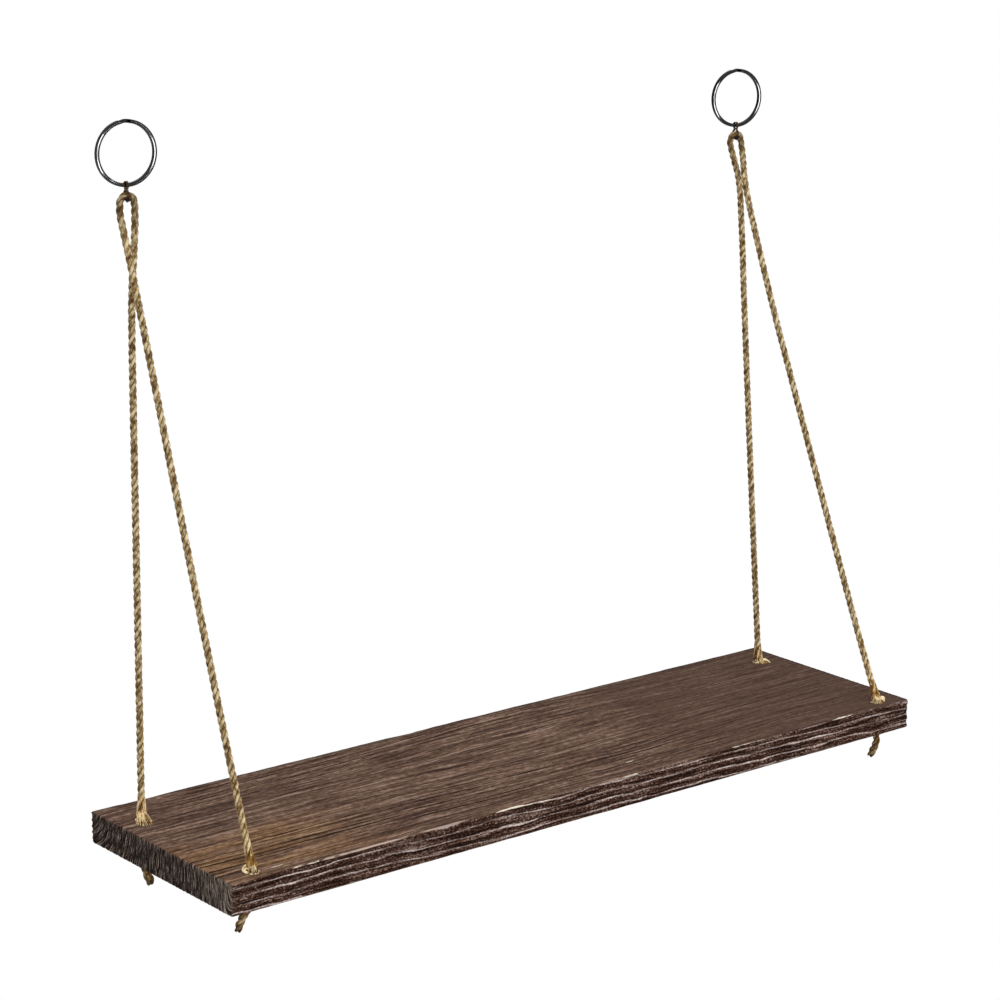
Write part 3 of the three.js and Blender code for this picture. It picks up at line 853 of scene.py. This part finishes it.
# %% The relief on the mesh
def brushed_board():
    low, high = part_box("shelf_board")
    mesh = drilled(divided_block(low, high))
    holes = [hole_of(side, place) for side, place in HOLES]
    shape = bmesh.new()
    shape.from_mesh(mesh)
    bmesh.ops.triangulate(shape, faces=[f for f in shape.faces if len(f.verts) > 4])
    count = shape.verts.layers.float.new("rings")
    torn = shape.verts.layers.float.new("bare")
    faces = shape.verts.layers.float_color.new("faces")
    inset = Vector((ROUND, ROUND, ROUND))
    for vert in shape.verts:
        p = vert.co
        core = Vector(max(a, min(b, c)) for a, b, c in zip(low + inset, high - inset, p))
        out = (p - core).normalized() if (p - core).length > 1e-7 else Vector()
        face = (out.z**2, out.y**2, out.x**2)
        x, v, w = p.x / MM, (high.y - p.y) / MM, (p.z - high.z) / MM
        near_hole = min(math.hypot(p.x - h.x, p.y - h.y) for h in holes)
        fade = max(0, min(1, (near_hole - HOLE_R) / (1.2 * MM)))
        vert[count], vert[torn], vert[faces] = rings_at(x, v, w), bare(x, v, w), (*face, 1)
        vert.co = p + out * (relief(x, v, w, face) * MM * fade)
    shape.to_mesh(mesh)
    shape.free()
    print(f"board: {sum(len(p.vertices) - 2 for p in mesh.polygons)} triangles")
    return mesh


# %% [markdown]
# The colour is charred brown. On the top it is streaked by fibre: noise stretched along the grain, once
# broad and once fine, with darker grooves at the soft wood of some rings. The edges are nearly black
# between pinkish grey ridges, and the end grain is black with pale bristles. Its finish is matt: the
# char was brushed off and waxed thinly. The finest fibres are drawn about 1 mm wide, because real ones
# wouldn't show from 1.7 m.

# %% Torched and brushed pine
def torched_pine():
    material, tree, surface = new_material("torched_brushed_pine")
    place = put(tree, "TexCoord").outputs["Object"]
    at = put(tree, "SeparateXYZ", {"Vector": place})
    rings = put(tree, "Attribute", attribute_name="rings").outputs["Fac"]
    torn = put(tree, "Attribute", attribute_name="bare").outputs["Fac"]
    faces = put(tree, "SeparateColor", {"Color": put(tree, "Attribute", attribute_name="faces")})

    def fibre(run, girth, detail=3.0, rough=0.6, seed=0.0):
        """A pattern of fibres run mm long and girth mm wide, which lie along the board."""
        scaled = put(tree, "Mapping", {"Vector": place, "Location": (seed, seed, 0),
                                       "Scale": (1000 / run, 1000 / girth, 1000 / girth)})
        return put(tree, "TexNoise", {"Vector": scaled, "Scale": 1.0, "Detail": detail,
                                      "Roughness": rough})

    def band(axis, low, high, soft):
        """1 between two places in mm along an axis, and less over a soft edge past each of them."""
        rise = put(tree, "MapRange", {"Value": at.outputs[axis], "From Min": (low - soft) * MM,
                                      "From Max": (low + soft) * MM}, interpolation_type="SMOOTHSTEP")
        fall = put(tree, "MapRange", {"Value": at.outputs[axis], "From Min": (high + soft) * MM,
                                      "From Max": (high - soft) * MM}, interpolation_type="SMOOTHSTEP")
        return put(tree, "Math", {0: rise, 1: fall}, operation="MULTIPLY")

    waved = put(tree, "Math", {0: fibre(34, 9, 2.0, seed=2.0), 1: 0.8, 2: rings}, operation="MULTIPLY_ADD")
    wob = put(tree, "Math", {0: fibre(13, 2.4, seed=3.0), 1: 0.38, 2: waved}, operation="MULTIPLY_ADD")

    def grain(run, girth, detail=3.0, rough=0.6, seed=0.0):
        """The same pattern, but wavy: it counts across the board by growth rings."""
        along = put(tree, "Math", {0: at.outputs["X"], 1: 1000 / run, 2: seed}, operation="MULTIPLY_ADD")
        across = put(tree, "Math", {0: wob, 1: RING / girth}, operation="MULTIPLY")
        where = put(tree, "CombineXYZ", {"X": along, "Y": across, "Z": seed})
        return put(tree, "TexNoise", {"Vector": where, "Scale": 1.0, "Detail": detail, "Roughness": rough})

    streaks, fibres, hairs = grain(80, 3.6), grain(40, 1.3, 4.0, 0.65), grain(16, 0.6, 4.0, 0.7)
    crumbs = fibre(4.5, 1.8, 4.0, 0.7)
    wave = put(tree, "Math", {0: wob, 1: 0.5}, operation="PINGPONG")
    ridge = put(tree, "MapRange", {"Value": wave, "From Min": 0.37, "From Max": 0.47},
                interpolation_type="SMOOTHSTEP")
    sound = put(tree, "MapRange", {"Value": fibre(26, 1.8, seed=7.0), "From Min": 0.4, "From Max": 0.54,
                                   "To Min": 0.2, "To Max": 1.0})
    ridge = put(tree, "Math", {0: ridge, 1: sound}, operation="MULTIPLY")
    counted = put(tree, "Math", {0: wob, 1: 1 / DEEP_EVERY, 2: 0.5}, operation="MULTIPLY_ADD")
    from_deep = put(tree, "Math", {0: counted, 1: 0.5}, operation="PINGPONG")
    groove = put(tree, "MapRange", {"Value": from_deep, "From Min": 0.3, "From Max": 0.42},
                 interpolation_type="SMOOTHSTEP")
    cut = put(tree, "MapRange", {"Value": fibre(60, 3.2, 3.0, seed=5.0), "From Min": 0.43,
                                 "From Max": 0.56})
    # The grooves lie close along the front and, weaker, along the back. They thin out to the right.
    front_part = put(tree, "Math", {0: band("Y", -128, -88, 6), 1: band("X", -300, 130, 30)},
                     operation="MULTIPLY")
    back_part = put(tree, "Math", {0: band("Y", -40, 0, 6), 1: band("X", -300, 95, 30)},
                    operation="MULTIPLY")
    wrinkled = put(tree, "Math", {0: back_part, 1: 0.5, 2: 0.25}, operation="MULTIPLY_ADD")
    wrinkled = put(tree, "Math", {0: front_part, 1: wrinkled}, operation="MAXIMUM")
    smooth = put(tree, "MapRange", {"Value": at.outputs["X"], "From Min": 0.05, "From Max": 0.13,
                                    "To Min": 1.0, "To Max": 0.55})
    for share in (cut, wrinkled, smooth):
        groove = put(tree, "Math", {0: groove, 1: share}, operation="MULTIPLY")

    mix = 0.0
    for pattern, share in ((streaks, 0.3), (fibres, 0.4), (crumbs, 0.3)):
        mix = put(tree, "Math", {0: pattern, 1: share, 2: mix}, operation="MULTIPLY_ADD")
    gain = put(tree, "Math", {0: smooth, 1: 0.95, 2: 0.4}, operation="MULTIPLY_ADD")
    mix = put(tree, "Math", {0: mix, 1: 0.49}, operation="SUBTRACT")
    mix = put(tree, "Math", {0: mix, 1: gain, 2: 0.49}, operation="MULTIPLY_ADD")
    brown = put(tree, "ValToRGB", {"Fac": mix}, stops=[
        (0.38, "36251e"), (0.46, "574238"), (0.53, "705749"), (0.62, "a08676")])
    tan = put(tree, "ValToRGB", {"Fac": mix}, stops=[
        (0.38, "46301f"), (0.46, "6b4f39"), (0.53, "876649"), (0.62, "b39371")])
    # The left front corner is worn to a golden tan, and the right third has more soot.
    tan_share = put(tree, "Math", {0: band("X", -300, -160, 40), 1: band("Y", -134, -74, 12)},
                    operation="MULTIPLY")
    worn = put(tree, "MapRange", {"Value": fibre(90, 12, seed=1.0), "From Min": 0.36, "From Max": 0.54})
    tan_share = put(tree, "Math", {0: tan_share, 1: worn}, operation="MULTIPLY")
    top = put(tree, "Mix", {0: tan_share, 6: brown, 7: tan}, data_type="RGBA")
    sooty = put(tree, "MapRange", {"Value": at.outputs["X"], "From Min": 0.03, "From Max": 0.17,
                                   "To Min": 0.0, "To Max": 0.32})
    far = put(tree, "MapRange", {"Value": at.outputs["Y"], "From Min": 0.0015, "From Max": 0.0035})
    far_end = put(tree, "MapRange", {"Value": at.outputs["X"], "From Min": 0.2515, "From Max": 0.254})
    far = put(tree, "Math", {0: far, 1: far_end}, operation="MAXIMUM")
    for share, shade in ((sooty, "2f2220"), (groove, "150b07"), (far, "2a2524")):
        top = put(tree, "Mix", {0: share, 6: top, 7: linear(shade)}, data_type="RGBA")

    grit = put(tree, "Math", {0: fibre(1.5, 0.9, 3.0, 0.7), 1: 0.5}, operation="MULTIPLY")
    grit = put(tree, "Math", {0: fibres, 1: 0.5, 2: grit}, operation="MULTIPLY_ADD")
    side_dark = put(tree, "ValToRGB", {"Fac": grit}, stops=[
        (0.42, "110604"), (0.49, "2e1b13"), (0.54, "523a30"), (0.61, "988378")])
    side_pale = put(tree, "ValToRGB", {"Fac": grit}, stops=[
        (0.41, "6c5850"), (0.5, "a28f88"), (0.58, "dcd0cc")])
    side = put(tree, "Mix", {0: ridge, 6: side_dark, 7: side_pale}, data_type="RGBA")

    around = put(tree, "Math", {0: rings, 1: 8.0}, operation="MULTIPLY")
    upward = put(tree, "Math", {0: at.outputs["Z"], 1: 1000 / 9.0}, operation="MULTIPLY")
    bristle_at = put(tree, "CombineXYZ", {"X": around, "Y": upward})
    bristle = put(tree, "TexNoise", {"Vector": bristle_at, "Scale": 1.0, "Detail": 4.0,
                                     "Roughness": 0.6, "Distortion": 0.2})
    bristle = put(tree, "Math", {0: ridge, 1: 0.07, 2: bristle}, operation="MULTIPLY_ADD")
    near_front = put(tree, "MapRange", {"Value": at.outputs["Y"], "From Min": -0.085, "From Max": -0.13,
                                        "To Min": 0.0, "To Max": 0.055})
    bristle = put(tree, "Math", {0: bristle, 1: near_front}, operation="ADD")
    end = put(tree, "ValToRGB", {"Fac": bristle}, stops=[
        (0.43, "0d0706"), (0.505, "281d19"), (0.56, "483a34"), (0.65, "b3a397")])

    colour = put(tree, "Mix", {0: faces.outputs[1], 6: top, 7: side}, data_type="RGBA")
    colour = put(tree, "Mix", {0: faces.outputs[2], 6: colour, 7: end}, data_type="RGBA")
    sliver = put(tree, "Math", {0: fibre(5, 0.8, seed=9.0), 1: 1.6, 2: torn}, operation="MULTIPLY_ADD")
    sliver = put(tree, "MapRange", {"Value": sliver, "From Min": 1.25, "From Max": 1.55})
    # The front edge's top arris is paler over a stretch at the left: a painted highlight along the rounded
    # arris, with the char worn there too.
    kept = put(tree, "MapRange", {"Value": fibre(24, 6, 2.0, seed=4.0), "From Min": 0.38,
                                  "From Max": 0.47})
    arris = band("Z", BOARD_TOP / MM - 0.7, BOARD_TOP / MM + 9, 0.3)
    for share in (band("Y", -300, -136.3, 0.4), band("X", -212, -100, 6), kept):
        arris = put(tree, "Math", {0: arris, 1: share}, operation="MULTIPLY")
    for share, shade in ((sliver, "eadfcd"), (arris, "b8a296")):
        colour = put(tree, "Mix", {0: share, 6: colour, 7: linear(shade)}, data_type="RGBA")

    raised = put(tree, "Math", {0: groove, 1: -1.5, 2: mix}, operation="MULTIPLY_ADD")
    raised = put(tree, "Math", {0: hairs, 1: 0.25, 2: raised}, operation="MULTIPLY_ADD")
    bump = put(tree, "Bump", {"Height": raised, "Strength": 0.8, "Distance": 0.8 * MM})
    shader = put(tree, "BsdfPrincipled", {
        "Base Color": colour, "Roughness": 0.8, "Specular IOR Level": 0.04,
        "Normal": bump})
    tree.links.new(shader.outputs["BSDF"], surface)
    return material


piece("torched_board", brushed_board(), torched_pine(), "board", "torched_pine", "shelf_board")

# %% [markdown]
# The photograph is a cut-out on white, so the floor and the world show plain white to the camera and
# keep their own pale tone for diffuse rays. One lamp is large and soft, high on the left, for the
# board's top. Two upright strips in front light its front face. Each also stands where one ring's wire
# mirrors it to the camera, which draws the line of light down that ring's sides.

# %% Floor, backdrop and light
def white_to_camera(tree, surface, seen, lit):
    """Shows seen to the camera and to glossy and transmitted rays, and lit to the rest."""
    path = put(tree, "LightPath")
    shown = put(tree, "Math", {0: path.outputs["Is Camera Ray"], 1: path.outputs["Is Glossy Ray"]},
                operation="MAXIMUM")
    shown = put(tree, "Math", {0: shown, 1: path.outputs["Is Transmission Ray"]}, operation="MAXIMUM")
    both = put(tree, "MixShader", {0: shown, 1: lit, 2: seen})
    tree.links.new(both.outputs[0], surface)


world = bpy.data.worlds.new("studio")
bpy.context.scene.world = world
world.use_nodes = True
world.node_tree.nodes.clear()
sky = put(world.node_tree, "Background", {"Color": linear("ffffff"), "Strength": 0.42})
white = put(world.node_tree, "Background", {"Color": linear("ffffff"), "Strength": 1.0})
white_to_camera(world.node_tree, put(world.node_tree, "OutputWorld").inputs["Surface"], white, sky)

paper, paper_tree, paper_surface = new_material("white_paper_floor")
matt = put(paper_tree, "BsdfDiffuse", {"Color": linear("e8e6e2")})
glow = put(paper_tree, "Emission", {"Color": linear("ffffff"), "Strength": 1.0})
white_to_camera(paper_tree, paper_surface, glow, matt)
FLOOR_Z = -1.6
sheet = bmesh.new()
bmesh.ops.create_grid(sheet, x_segments=4, y_segments=4, size=6.0,
                      matrix=Matrix.Translation((0, 0, FLOOR_Z)))
floor = placed("floor", meshed("floor", sheet))
floor.data.materials.append(paper)


SHELF_MIDDLE = Vector((0, -0.06, -0.22))
STRIP = (0.12, 0.52)
STRIP_W = 11


def softbox(name, towards, distance, size, power):
    """A soft lamp, so wide and so tall, that stands in a direction from the shelf and faces it."""
    lamp = placed(name, bpy.data.lights.new(name, "AREA"))
    lamp.data.shape = "RECTANGLE"
    lamp.data.size, lamp.data.size_y = size
    lamp.data.energy = power
    away = Vector(towards).normalized()
    lamp.location = SHELF_MIDDLE + away * distance
    lamp.rotation_mode = "QUATERNION"
    lamp.rotation_quaternion = away.to_track_quat("Z", "Y")


softbox("top_left_softbox", (-0.35, -0.35, 1.0), 2.4, (1.4, 1.4), 38)
softbox("left_ring_strip", (0.27, -2.267, -0.09), 2.29, STRIP, STRIP_W)
softbox("right_ring_strip", (0.84, -2.237, -0.09), 2.4, STRIP, STRIP_W)
